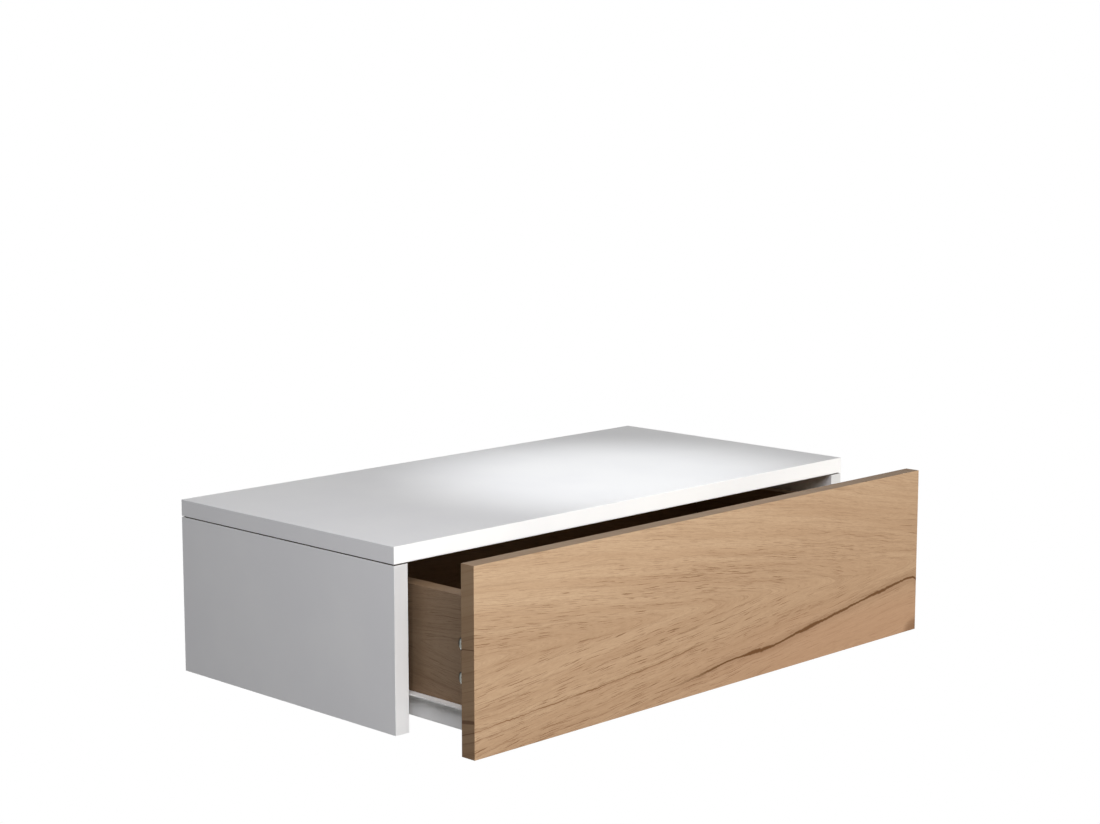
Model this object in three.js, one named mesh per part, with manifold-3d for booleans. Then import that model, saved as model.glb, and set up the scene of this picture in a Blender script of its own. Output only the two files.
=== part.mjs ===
// Floating nightstand: a wall-hung cabinet with one drawer on roller runners.
// Millimetres. X runs across the width, Y into the wall, Z up.
// The origin lies on the wall face, midway across and midway up the cabinet.

import * as THREE from "three";
import { mergeVertices } from "three/addons/utils/BufferGeometryUtils.js";
import Module from "manifold-3d";

const wasm = await Module();
wasm.setup();

// Gaps and cuts
const seat = 0.3; // left between two pieces that touch
const overrun = 1; // how far a cut runs past the face that it opens
const weld = 0.0001; // vertices closer than this are one

// Cabinet boards
const cabinetWidth = 720;
const cabinetDepth = 350;
const cabinetHeight = 192.5;
const topThickness = 18;
const sideThickness = 18;
const backThickness = 18;
const shadowGap = 1.2; // fine dark line between the top and the sides
const tongueInset = 3.5; // how far the seat of the top stays in from the side's faces

// Drawer boards
const drawerOut = 96.1; // from the cabinet's front edge to the drawer front's back face, as it stands
const frontThickness = 18;
const frontTopDrop = 1.2; // the drawer front ends this far below the cabinet's top face
const drawerThickness = 18; // sides and back of the drawer box
const drawerHeadroom = 25.3; // between the top's underside and the drawer sides
const drawerUnderspace = 15; // between the drawer sides and the cabinet's lower edge
const bottomThickness = 5;
const grooveDepth = 8;
const grooveRise = 16; // from the drawer sides' lower edge up to the groove

// Runners
const runnerGap = 13; // between a cabinet side and the drawer side next to it
const railGauge = 1.2;
const railBend = 1; // bend radius at the middle of the sheet
const railSetback = 12; // from the cabinet's front edge to the cabinet rail
const rearSpace = 20; // between the cabinet rail and the back
const drawerRailHeight = 25.8;
const drawerRailLip = 14; // how far the drawer rail reaches under the drawer side
const drawerRailSetback = 2; // from the drawer front to the drawer rail
const flangeSpace = 1.8; // between the cabinet side and the edge of the drawer rail's flange
const railPass = 2; // height between the drawer rail's flange and the cabinet rail
const lipPass = 1.2; // between the cabinet rail's lips and the drawer rail
const lipRise = 3;
const stopDrop = 3; // how far the end stop hangs into the channel
const travelShare = 0.75; // full travel as a share of the runner's length
const rollerRadius = 8;
const rollerPlay = 0.6; // between a roller and the lips
const rollerInset = 10; // from a rail's end to its roller's axis
const rollerWindow = 24; // length of the cabinet rail that is open above its roller
const rollerChamfer = 0.6;
const rollerDish = 0.9;
const rollerHub = 4.2;
const rollerRim = 6.6;
const axleRadius = 2.5;
const axleShoulder = 3.2;
const axleHead = 0.8;
const axleHeadRadius = 3.5;
const axleFit = 0.25; // radial clearance of a roller on its axle

// Cam locks with their bolts
const camRadius = 7.5;
const camDepth = 13.5;
const camBackset = 29.5; // from the joint to the cam's axis
const camBoltDepth = 9; // from the cam's face to the bolt's axis
const camCross = 8.4; // length of each arm pair of the cross recess
const camCrossWidth = 1.8;
const camCrossDepth = 1.6;
const boltHead = 3.4; // radius
const boltHeadLength = 3.6;
const boltNeck = 2.2; // radius
const boltNeckLength = 5;
const boltShaft = 3.4; // radius
const boltThread = 2.5; // radius
const boltThreadLength = 11;
const boltTip = 1.2;
const topCamInset = 28; // from the cabinet's front and back edges to the top's cam locks
const backCamShare = 0.7; // height on the back
const backDowelShare = 0.3; // height on the back
const drawerCamShare = 0.507; // height of the pair's middle on the drawer side
const drawerCamSpacing = 34.3;

// Dowels
const dowelRadius = 4;
const dowelInSide = 12;
const dowelInBack = 18;
const dowelChamfer = 1;

// Screws
const screwCrossWidth = 0.9;
const railScrew = { head: 3.4, headDepth: 2, shank: 1.75, length: 11, tip: 2 };
const hangerScrew = { head: 3.4, headDepth: 2, shank: 1.75, length: 14, tip: 2 };
const backScrew = { head: 4.2, headDepth: 2.6, shank: 2.5, length: 50, tip: 3 };
const cabinetRailScrewShares = { front: 0.12, rear: 0.85 };
const drawerRailScrewShares = { front: 0.4, rear: 0.85 };
const backScrewShares = { upper: 0.8, lower: 0.35 };

// Wall hangers, each a steel plate with a keyhole
const hangerWidth = 60;
const hangerHeight = 34;
const hangerThickness = 2;
const hangerCorner = 4;
const hangerInset = 102; // from the side's inner face to the keyhole
const hangerDrop = 42; // from the back's upper edge to the plate's centre
const hangerScrewSpacing = 44;
const keyholeEntry = 5; // radius
const keyholeSlot = 2.6; // half width
const keyholeRun = 11; // from the entry's centre to the slot's end
const keyholePocket = 9; // depth behind the plate

// Bumpers
const bumperRadius = 4;
const bumperThickness = 2;
const bumperDome = 0.5;
const bumperDrop = 30; // from the drawer front's upper edge

// How finely round pieces are drawn
const camSides = 20;
const rollerSides = 24;
const screwSides = 12;
const boltSides = 10;
const bendSteps = 3;
const cornerSteps = 4;

// Levels and places that follow from the sizes
const topFace = cabinetHeight / 2;
const baseFace = -cabinetHeight / 2;
const topUnderside = topFace - topThickness;
const sideTop = topUnderside - shadowGap;
const backTop = topUnderside - seat;
const backHeight = backTop - baseFace;
const cabinetFront = -cabinetDepth;
const sideOuter = cabinetWidth / 2;
const sideInner = sideOuter - sideThickness;

const runnerLength = cabinetDepth - backThickness - rearSpace - railSetback;
const drawerTop = topUnderside - drawerHeadroom;
const drawerBase = baseFace + drawerUnderspace;
const drawerHeight = drawerTop - drawerBase;
const drawerOuter = sideInner - runnerGap;
const drawerInner = drawerOuter - drawerThickness;
const frontBack = cabinetFront - drawerOut;
const frontTop = topFace - frontTopDrop;
const drawerMouth = frontBack + seat;
const drawerRear = drawerMouth + runnerLength;
const grooveLow = drawerBase + grooveRise;
const grooveHigh = grooveLow + bottomThickness + 2 * seat;

const closedGap = bumperThickness + 2 * seat;
const closedRear = cabinetFront - closedGap + seat + runnerLength;
const drawerRailLow = drawerBase - seat - railGauge;
const flangeTop = drawerRailLow + drawerRailHeight;
const flangeUnder = flangeTop - railGauge;
const cabinetRailTop = flangeUnder - railPass;
const channelHeight = 2 * rollerRadius + 2 * seat;
const cabinetRailLow = cabinetRailTop - 2 * railGauge - channelHeight;
const rearRollerLevel = cabinetRailTop - railGauge - seat - rollerRadius;
const frontRollerLevel = flangeUnder - seat - rollerRadius;
const cabinetRailFront = cabinetFront + railSetback;
const cabinetRailRear = cabinetRailFront + runnerLength;
const frontRollerPlace = cabinetRailFront + rollerInset;
const rearRollerPlace = drawerRear - rollerInset;

// Distances from a cabinet side's inner face towards the drawer
const cabinetWeb = seat + railGauge;
const drawerWeb = runnerGap - seat - railGauge;
const channelEdge = drawerWeb - lipPass;
const lipFace = channelEdge - railGauge;
const rearRollerNear = cabinetWeb + seat + axleHead + seat;
const rollerWidth = lipFace - rollerPlay - rearRollerNear;
const frontRollerNear = channelEdge - axleHead - seat - rollerWidth;

const hands = [
  { name: "left", sign: -1 },
  { name: "right", sign: 1 },
];
const across = new THREE.Vector3(1, 0, 0);
const deep = new THREE.Vector3(0, 1, 0);
const up = new THREE.Vector3(0, 0, 1);

function material(color, roughness, metalness) {
  return new THREE.MeshStandardMaterial({ color, roughness, metalness });
}

const whiteBoard = material(0xe9eaec, 0.45, 0);
const oakBoard = material(0xc4a27f, 0.6, 0);
const oakThin = material(0xb89775, 0.65, 0);
const whiteSteel = material(0xe4e1dd, 0.4, 0.1);
const nylon = material(0xf0efe9, 0.5, 0);
const zinc = material(0xa9adb1, 0.35, 0.9);
const beech = material(0xd9b98c, 0.7, 0);
const silicone = material(0xdfe3e4, 0.3, 0);

// Solids

function solidOf(geometry) {
  const bare = geometry.clone();
  bare.deleteAttribute("normal");
  bare.deleteAttribute("uv");
  const merged = mergeVertices(bare, weld);
  const corners = merged.index.array;
  const kept = [];
  for (let i = 0; i < corners.length; i += 3) {
    const [a, b, c] = [corners[i], corners[i + 1], corners[i + 2]];
    if (a !== b && b !== c && c !== a) kept.push(a, b, c);
  }
  const mesh = new wasm.Mesh({
    numProp: 3,
    vertProperties: new Float32Array(merged.attributes.position.array),
    triVerts: new Uint32Array(kept),
  });
  return new wasm.Manifold(mesh);
}

function geometryOf(solid) {
  const mesh = solid.getMesh();
  const geometry = new THREE.BufferGeometry();
  geometry.setAttribute("position", new THREE.BufferAttribute(mesh.vertProperties, 3));
  geometry.setIndex(new THREE.BufferAttribute(mesh.triVerts, 1));
  geometry.computeVertexNormals();
  return geometry;
}

function cut(geometry, tools) {
  const solid = tools.reduce((left, tool) => left.subtract(solidOf(tool)), solidOf(geometry));
  return geometryOf(solid);
}

function join(geometry, others) {
  const solid = others.reduce((whole, other) => whole.add(solidOf(other)), solidOf(geometry));
  return geometryOf(solid);
}

// A box between two levels on each axis, given in either order
function block([x0, x1], [y0, y1], [z0, z1]) {
  const geometry = new THREE.BoxGeometry(Math.abs(x1 - x0), Math.abs(y1 - y0), Math.abs(z1 - z0));
  return geometry.translate((x0 + x1) / 2, (y0 + y1) / 2, (z0 + z1) / 2);
}

// A solid of revolution about its own Z axis, from pairs of radius and height
function turned(profile, segments) {
  const points = profile.map(([radius, height]) => new THREE.Vector2(radius, height));
  return new THREE.LatheGeometry(points, segments).rotateX(Math.PI / 2);
}

function rod(radius, low, high, segments) {
  return turned([[0, low], [radius, low], [radius, high], [0, high]], segments);
}

// An outline in X and Z, run along the depth from front to rear
function alongDepth(shape, front, rear) {
  const options = { depth: rear - front, bevelEnabled: false, curveSegments: cornerSteps };
  return new THREE.ExtrudeGeometry(shape, options).rotateX(Math.PI / 2).translate(0, rear, 0);
}

// A place with its own Z axis along "out" and, where it matters, its Y axis along "toward"
function frameAt(place, out, toward) {
  if (!toward) {
    const turn = new THREE.Quaternion().setFromUnitVectors(up, out);
    return new THREE.Matrix4().compose(place, turn, new THREE.Vector3(1, 1, 1));
  }
  const sideways = new THREE.Vector3().crossVectors(toward, out);
  return new THREE.Matrix4().makeBasis(sideways, toward, out).setPosition(place);
}

// The direction along X that the sign gives
function sidewards(sign) {
  return across.clone().multiplyScalar(sign);
}

function moved(geometry, frame) {
  return geometry.clone().applyMatrix4(frame);
}

const nightstand = new THREE.Group();

function addPiece(name, geometry, finish, frame) {
  const mesh = new THREE.Mesh(geometry, finish);
  mesh.name = name;
  if (frame) frame.decompose(mesh.position, mesh.quaternion, mesh.scale);
  nightstand.add(mesh);
}

// Fasteners. Each has its head or face at its own Z = 0 and reaches down from there.

function screwProfile(screw, grow) {
  return [
    [0, -screw.length - grow],
    [screw.shank + grow, -screw.length + screw.tip - grow],
    [screw.shank + grow, -screw.headDepth],
    [screw.head + grow, 0],
  ];
}

function crossRecess(length, width, depth) {
  const long = [-length / 2, length / 2];
  const narrow = [-width / 2, width / 2];
  const height = [-depth, overrun];
  return [block(long, narrow, height), block(narrow, long, height)];
}

function screwGeometry(screw) {
  const body = turned([...screwProfile(screw, 0), [0, 0]], screwSides);
  return cut(body, crossRecess(screw.head, screwCrossWidth, screw.headDepth / 2));
}

function screwHole(screw) {
  return turned([...screwProfile(screw, seat), [screw.head + seat, overrun], [0, overrun]], screwSides);
}

// A cam lock faces out along Z, and its bolt enters along Y at the bolt's depth
const boltAxis = new THREE.Matrix4().makeBasis(across, up.clone().negate(), deep);
boltAxis.setPosition(0, 0, -camBoltDepth);
const boltPlunge = boltHeadLength / 2 + seat;

function camGeometry() {
  const socket = rod(boltHead + seat, -boltPlunge, camRadius + overrun, boltSides);
  const recess = crossRecess(camCross, camCrossWidth, camCrossDepth);
  return cut(rod(camRadius, -camDepth, 0, camSides), [moved(socket, boltAxis), ...recess]);
}

// The bolt's Z = 0 is the cam's axis, and it reaches through the joint into the next board
function boltGeometry() {
  const neckStart = boltHeadLength / 2;
  const neckEnd = neckStart + boltNeckLength;
  const threadEnd = camBackset + boltThreadLength;
  const profile = [
    [0, -neckStart],
    [boltHead, -neckStart],
    [boltHead, neckStart],
    [boltNeck, neckStart],
    [boltNeck, neckEnd],
    [boltShaft, neckEnd],
    [boltShaft, camBackset],
    [boltThread, camBackset],
    [boltThread, threadEnd - boltTip],
    [0, threadEnd],
  ];
  return turned(profile, boltSides);
}

const camHole = rod(camRadius + seat, -camDepth - seat, overrun, camSides);
const shaftHole = rod(boltShaft + seat, -boltPlunge, camBackset + seat + overrun, boltSides);
const threadHole = rod(boltThread + seat, camBackset, camBackset + boltThreadLength + seat, boltSides);

function camLock(place, out, toward) {
  const frame = frameAt(place, out, toward);
  const boltFrame = frame.clone().multiply(boltAxis);
  return {
    frame,
    boltFrame,
    cutsInBoard: [moved(camHole, frame), moved(shaftHole, boltFrame)],
    cutsInNext: [moved(threadHole, boltFrame)],
  };
}

const camShape = camGeometry();
const boltShape = boltGeometry();

function addCamLock(name, lock) {
  addPiece(name, camShape, zinc, lock.frame);
  addPiece(`${name}_bolt`, boltShape, zinc, lock.boltFrame);
}

// Cabinet fasteners

const topCams = [];
for (const { name, sign } of hands) {
  const out = sidewards(-sign);
  const level = topUnderside - seat - camBackset;
  const spots = { front: cabinetFront + topCamInset, rear: -topCamInset };
  for (const [end, depth] of Object.entries(spots)) {
    const lock = camLock(new THREE.Vector3(sign * sideInner, depth, level), out, up);
    topCams.push({ name: `top_cam_${name}_${end}`, sign, lock });
  }
}

const backCams = hands.map(({ name, sign }) => {
  const level = baseFace + backHeight * backCamShare;
  const place = new THREE.Vector3(sign * (sideInner - seat - camBackset), 0, level);
  return { name: `back_cam_${name}`, sign, lock: camLock(place, deep, sidewards(sign)) };
});

// A dowel's Z = 0 is the joint between the back's end and the side
const dowelShape = turned(
  [
    [0, -dowelInBack],
    [dowelRadius - dowelChamfer, -dowelInBack],
    [dowelRadius, -dowelInBack + dowelChamfer],
    [dowelRadius, dowelInSide - dowelChamfer],
    [dowelRadius - dowelChamfer, dowelInSide],
    [0, dowelInSide],
  ],
  screwSides,
);
const dowelHole = rod(dowelRadius + seat, -dowelInBack - seat, dowelInSide + seat, screwSides);

const backDowels = hands.map(({ name, sign }) => {
  const level = baseFace + backHeight * backDowelShare;
  const place = new THREE.Vector3(sign * sideInner, -backThickness / 2, level);
  return { name: `back_dowel_${name}`, sign, frame: frameAt(place, sidewards(sign)) };
});

const cabinetRailScrews = [];
for (const { name, sign } of hands) {
  for (const [end, share] of Object.entries(cabinetRailScrewShares)) {
    const depth = cabinetRailFront + runnerLength * share;
    const place = new THREE.Vector3(sign * (sideInner - cabinetWeb), depth, rearRollerLevel);
    const frame = frameAt(place, sidewards(-sign));
    cabinetRailScrews.push({ name: `cabinet_rail_screw_${name}_${end}`, sign, frame });
  }
}

// Wall hangers

const hangerLevel = backTop - hangerDrop;
const hangers = hands.map(({ name, sign }) => ({ name, sign, centre: sign * (sideInner - hangerInset) }));

const hangerScrews = [];
for (const { name, sign, centre } of hangers) {
  for (const [end, way] of [["inner", -sign], ["outer", sign]]) {
    const place = new THREE.Vector3(centre + (way * hangerScrewSpacing) / 2, 0, hangerLevel);
    hangerScrews.push({ name: `hanger_screw_${name}_${end}`, sign, frame: frameAt(place, deep) });
  }
}

// A rounded rectangle in X and Z about a centre
function roundedOutline(centre, level, halfWidth, halfHeight, corner) {
  const shape = new THREE.Shape();
  const arcs = [
    [1, -1, -Math.PI / 2],
    [1, 1, 0],
    [-1, 1, Math.PI / 2],
    [-1, -1, Math.PI],
  ];
  for (const [right, high, start] of arcs) {
    const x = centre + right * (halfWidth - corner);
    const z = level + high * (halfHeight - corner);
    shape.absarc(x, z, corner, start, start + Math.PI / 2, false);
  }
  return shape;
}

// The keyhole: a round entry below, and a slot that runs up from it
function keyholeOutline(centre, level) {
  const entryLevel = level - keyholeRun / 2;
  const slotLevel = level + keyholeRun / 2;
  const lean = Math.asin(keyholeSlot / keyholeEntry);
  const path = new THREE.Path();
  path.absarc(centre, entryLevel, keyholeEntry, Math.PI / 2 + lean, Math.PI * 2.5 - lean, false);
  path.absarc(centre, slotLevel, keyholeSlot, 0, Math.PI, false);
  path.closePath();
  return path;
}

function hangerPlate(sign, centre) {
  const shape = roundedOutline(centre, hangerLevel, hangerWidth / 2, hangerHeight / 2, hangerCorner);
  shape.holes.push(keyholeOutline(centre, hangerLevel));
  const own = hangerScrews.filter((screw) => screw.sign === sign);
  const holes = own.map(({ frame }) => moved(screwHole(hangerScrew), frame));
  return cut(alongDepth(shape, -hangerThickness, 0), holes);
}

// The plate lies in a recess, and a deeper pocket behind the keyhole takes the screw's head
function hangerRecess(centre) {
  const halfWidth = hangerWidth / 2 + seat;
  const halfHeight = hangerHeight / 2 + seat;
  const recess = roundedOutline(centre, hangerLevel, halfWidth, halfHeight, hangerCorner + seat);
  const pocketHalf = keyholeEntry + seat;
  const pocketHeight = keyholeRun / 2 + pocketHalf;
  const pocket = roundedOutline(centre, hangerLevel, pocketHalf, pocketHeight, pocketHalf);
  const floor = -hangerThickness - seat;
  return [alongDepth(recess, floor, overrun), alongDepth(pocket, floor - keyholePocket, floor + overrun)];
}

// Cabinet boards

function topPanel() {
  const board = block([-sideOuter, sideOuter], [cabinetFront, 0], [topUnderside, topFace]);
  return cut(board, topCams.flatMap(({ lock }) => lock.cutsInNext));
}

// The side carries a low tongue, so that the top seats inside a fine shadow gap
function sidePanel(sign) {
  const board = block([sign * sideInner, sign * sideOuter], [cabinetFront, 0], [baseFace, sideTop]);
  const tongue = block(
    [sign * (sideInner + tongueInset), sign * (sideOuter - tongueInset)],
    [cabinetFront + tongueInset, -tongueInset],
    [sideTop - overrun, topUnderside - seat],
  );
  const own = (piece) => piece.sign === sign;
  return cut(join(board, [tongue]), [
    ...topCams.filter(own).flatMap(({ lock }) => lock.cutsInBoard),
    ...backCams.filter(own).flatMap(({ lock }) => lock.cutsInNext),
    ...backDowels.filter(own).map(({ frame }) => moved(dowelHole, frame)),
    ...cabinetRailScrews.filter(own).map(({ frame }) => moved(screwHole(railScrew), frame)),
  ]);
}

function backPanel() {
  const board = block([-sideInner + seat, sideInner - seat], [-backThickness, 0], [baseFace, backTop]);
  return cut(board, [
    ...backCams.flatMap(({ lock }) => lock.cutsInBoard),
    ...backDowels.map(({ frame }) => moved(dowelHole, frame)),
    ...hangers.flatMap(({ centre }) => hangerRecess(centre)),
    ...hangerScrews.map(({ frame }) => moved(screwHole(hangerScrew), frame)),
  ]);
}

// Rails of folded sheet steel

// Rounds the inner corners of a centre line with short arcs
function rounded(path) {
  const points = [path[0]];
  for (let i = 1; i < path.length - 1; i += 1) {
    const before = path[i - 1].clone().sub(path[i]).setLength(railBend);
    const after = path[i + 1].clone().sub(path[i]).setLength(railBend);
    const centre = path[i].clone().add(before).add(after);
    for (let step = 0; step <= bendSteps; step += 1) {
      const angle = (step / bendSteps) * (Math.PI / 2);
      const point = centre.clone();
      point.addScaledVector(after, -Math.cos(angle));
      point.addScaledVector(before, -Math.sin(angle));
      points.push(point);
    }
  }
  return [...points, path[path.length - 1]];
}

// A strip of even thickness about a centre line
function foldedStrip(path) {
  const line = rounded(path);
  const near = [];
  const far = [];
  line.forEach((point, i) => {
    const back = point.clone().sub(line[Math.max(i - 1, 0)]).normalize();
    const ahead = line[Math.min(i + 1, line.length - 1)].clone().sub(point).normalize();
    const along = back.add(ahead).normalize();
    const first = i === 0 ? ahead : point.clone().sub(line[i - 1]).normalize();
    const half = railGauge / 2 / along.dot(first);
    const square = new THREE.Vector2(-along.y, along.x).multiplyScalar(half);
    near.push(point.clone().add(square));
    far.unshift(point.clone().sub(square));
  });
  return new THREE.Shape([...near, ...far]);
}

// A point of a rail's section: a distance from the cabinet side towards the drawer, and a level
function sectionPoint(sign, distance, level) {
  return new THREE.Vector2(sign * (sideInner - distance), level);
}

// A rod or block that stands out from a rail, between two distances from the cabinet side
function crossRod(sign, radius, from, to, depth, level) {
  const frame = frameAt(new THREE.Vector3(sign * sideInner, depth, level), sidewards(-sign));
  return moved(rod(radius, from, to, screwSides), frame);
}

function crossBlock(sign, from, to, depths, levels) {
  return block([sign * (sideInner - from), sign * (sideInner - to)], depths, levels);
}

// The end stop hangs in front of where the rear roller's top comes to at full travel
function endStop(sign) {
  const stopLow = cabinetRailTop - railGauge - stopDrop;
  const halfChord = Math.sqrt(rollerRadius ** 2 - (stopLow - rearRollerLevel) ** 2);
  const fullOut = closedRear - rollerInset - runnerLength * travelShare;
  const stopRear = fullOut - halfChord - seat;
  return crossBlock(
    sign,
    cabinetWeb,
    lipFace,
    [stopRear - railGauge, stopRear],
    [stopLow, cabinetRailTop - railGauge / 2],
  );
}

function cabinetRail(sign) {
  const half = railGauge / 2;
  const webLine = seat + half;
  const lipLine = channelEdge - half;
  const high = cabinetRailTop - half;
  const low = cabinetRailLow + half;
  const lip = lipRise + half;
  const path = [
    sectionPoint(sign, lipLine, high - lip),
    sectionPoint(sign, lipLine, high),
    sectionPoint(sign, webLine, high),
    sectionPoint(sign, webLine, low),
    sectionPoint(sign, lipLine, low),
    sectionPoint(sign, lipLine, low + lip),
  ];
  const profile = alongDepth(foldedStrip(path), cabinetRailFront, cabinetRailRear);
  const windowDepths = [cabinetRailFront - overrun, cabinetRailFront + rollerWindow];
  const windowLevels = [rearRollerLevel, cabinetRailTop + overrun];
  const own = cabinetRailScrews.filter((screw) => screw.sign === sign);
  const opened = cut(profile, [
    crossBlock(sign, cabinetWeb, channelEdge + overrun, windowDepths, windowLevels),
    ...own.map(({ frame }) => moved(screwHole(railScrew), frame)),
  ]);
  const rollerFar = frontRollerNear + rollerWidth;
  return join(opened, [
    endStop(sign),
    crossRod(sign, axleShoulder, webLine, frontRollerNear - seat, frontRollerPlace, frontRollerLevel),
    crossRod(sign, axleRadius, webLine, rollerFar + seat + half, frontRollerPlace, frontRollerLevel),
    crossRod(sign, axleHeadRadius, rollerFar + seat, channelEdge, frontRollerPlace, frontRollerLevel),
  ]);
}

function drawerRail(sign) {
  const half = railGauge / 2;
  const webLine = drawerWeb + half;
  const lipLevel = drawerRailLow + half;
  const flangeLevel = flangeTop - half;
  const path = [
    sectionPoint(sign, runnerGap + drawerRailLip, lipLevel),
    sectionPoint(sign, webLine, lipLevel),
    sectionPoint(sign, webLine, flangeLevel),
    sectionPoint(sign, flangeSpace, flangeLevel),
  ];
  const profile = alongDepth(foldedStrip(path), frontBack + drawerRailSetback, drawerRear);
  const own = drawerRailScrews.filter((screw) => screw.sign === sign);
  const rollerFar = rearRollerNear + rollerWidth;
  const headFar = rearRollerNear - seat;
  return join(cut(profile, own.map(({ frame }) => moved(screwHole(railScrew), frame))), [
    crossRod(sign, axleShoulder, rollerFar + seat, webLine, rearRollerPlace, rearRollerLevel),
    crossRod(sign, axleRadius, headFar - half, webLine, rearRollerPlace, rearRollerLevel),
    crossRod(sign, axleHeadRadius, headFar - axleHead, headFar, rearRollerPlace, rearRollerLevel),
  ]);
}

// A roller with a bore and a dish in each face, from its own Z = 0 up
function rollerGeometry() {
  const bore = axleRadius + axleFit;
  const profile = [
    [bore, 0],
    [rollerHub, 0],
    [rollerHub, rollerDish],
    [rollerRim, rollerDish],
    [rollerRim, 0],
    [rollerRadius - rollerChamfer, 0],
    [rollerRadius, rollerChamfer],
    [rollerRadius, rollerWidth - rollerChamfer],
    [rollerRadius - rollerChamfer, rollerWidth],
    [rollerRim, rollerWidth],
    [rollerRim, rollerWidth - rollerDish],
    [rollerHub, rollerWidth - rollerDish],
    [rollerHub, rollerWidth],
    [bore, rollerWidth],
    [bore, 0],
  ];
  return turned(profile, rollerSides);
}

function rollerFrame(sign, near, depth, level) {
  const place = new THREE.Vector3(sign * (sideInner - near), depth, level);
  return frameAt(place, sidewards(-sign));
}

// Drawer fasteners

const drawerCams = [];
const drawerRailScrews = [];
const drawerBackScrews = [];
for (const { name, sign } of hands) {
  const out = sidewards(sign);
  const middle = drawerBase + drawerHeight * drawerCamShare;
  for (const [end, way] of [["upper", 1], ["lower", -1]]) {
    const level = middle + (way * drawerCamSpacing) / 2;
    const place = new THREE.Vector3(sign * drawerOuter, drawerMouth + camBackset, level);
    const lock = camLock(place, out, deep.clone().negate());
    drawerCams.push({ name: `drawer_cam_${name}_${end}`, sign, lock });
  }
  for (const [end, share] of Object.entries(drawerRailScrewShares)) {
    const depth = drawerMouth + runnerLength * share;
    const place = new THREE.Vector3(sign * (sideInner - drawerWeb), depth, rearRollerLevel);
    drawerRailScrews.push({ name: `drawer_rail_screw_${name}_${end}`, sign, frame: frameAt(place, out) });
  }
  for (const [end, share] of Object.entries(backScrewShares)) {
    const depth = drawerRear - drawerThickness / 2;
    const place = new THREE.Vector3(sign * drawerOuter, depth, drawerBase + drawerHeight * share);
    drawerBackScrews.push({ name: `drawer_back_screw_${name}_${end}`, sign, frame: frameAt(place, out) });
  }
}

// Drawer boards

const bottomHalf = drawerInner + grooveDepth - seat;
const bottomFront = frontBack - grooveDepth + seat;
const backFace = drawerRear - drawerThickness;
const bottomRear = backFace + grooveDepth - seat;

function drawerFront() {
  const board = block([-sideOuter, sideOuter], [frontBack - frontThickness, frontBack], [baseFace, frontTop]);
  const groove = block(
    [-bottomHalf - seat, bottomHalf + seat],
    [frontBack - grooveDepth, frontBack + overrun],
    [grooveLow, grooveHigh],
  );
  return cut(board, [groove, ...drawerCams.flatMap(({ lock }) => lock.cutsInNext)]);
}

function drawerSide(sign) {
  const widths = [sign * drawerInner, sign * drawerOuter];
  const board = block(widths, [drawerMouth, drawerRear], [drawerBase, drawerTop]);
  const groove = block(
    [sign * (drawerInner - overrun), sign * (drawerInner + grooveDepth)],
    [drawerMouth - overrun, drawerRear + overrun],
    [grooveLow, grooveHigh],
  );
  const own = (piece) => piece.sign === sign;
  return cut(board, [
    groove,
    ...drawerCams.filter(own).flatMap(({ lock }) => lock.cutsInBoard),
    ...drawerRailScrews.filter(own).map(({ frame }) => moved(screwHole(railScrew), frame)),
    ...drawerBackScrews.filter(own).map(({ frame }) => moved(screwHole(backScrew), frame)),
  ]);
}

function drawerBack() {
  const half = drawerInner - seat;
  const board = block([-half, half], [backFace, drawerRear], [drawerBase, drawerTop]);
  const groove = block(
    [-half - overrun, half + overrun],
    [backFace - overrun, backFace + grooveDepth],
    [grooveLow, grooveHigh],
  );
  return cut(board, [groove, ...drawerBackScrews.map(({ frame }) => moved(screwHole(backScrew), frame))]);
}

function drawerBottom() {
  const levels = [grooveLow + seat, grooveHigh - seat];
  return block([-bottomHalf, bottomHalf], [bottomFront, bottomRear], levels);
}

// Bumpers sit on the drawer front's back face, and meet the cabinet sides' front edges
function bumperGeometry() {
  const profile = [
    [0, 0],
    [bumperRadius, 0],
    [bumperRadius, bumperThickness - bumperDome],
    [bumperRadius - bumperDome, bumperThickness],
    [0, bumperThickness],
  ];
  return turned(profile, camSides);
}

function bumperFrame(sign) {
  const middle = sign * (sideOuter - sideThickness / 2);
  return frameAt(new THREE.Vector3(middle, frontBack + seat, frontTop - bumperDrop), deep);
}

// The cabinet
addPiece("top_panel", topPanel(), whiteBoard);
for (const { name, sign } of hands) {
  addPiece(`side_panel_${name}`, sidePanel(sign), whiteBoard);
}
addPiece("back_panel", backPanel(), whiteBoard);
for (const { name, lock } of [...topCams, ...backCams]) {
  addCamLock(name, lock);
}
for (const { name, frame } of backDowels) {
  addPiece(name, dowelShape, beech, frame);
}
for (const { name, sign, centre } of hangers) {
  addPiece(`hanger_plate_${name}`, hangerPlate(sign, centre), zinc);
}
const hangerScrewShape = screwGeometry(hangerScrew);
for (const { name, frame } of hangerScrews) {
  addPiece(name, hangerScrewShape, zinc, frame);
}

// The cabinet's half of the runners
const rollerShape = rollerGeometry();
for (const { name, sign } of hands) {
  addPiece(`cabinet_rail_${name}`, cabinetRail(sign), whiteSteel);
  const frame = rollerFrame(sign, frontRollerNear, frontRollerPlace, frontRollerLevel);
  addPiece(`cabinet_roller_${name}`, rollerShape, nylon, frame);
}
const railScrewShape = screwGeometry(railScrew);
for (const { name, frame } of cabinetRailScrews) {
  addPiece(name, railScrewShape, zinc, frame);
}

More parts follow.
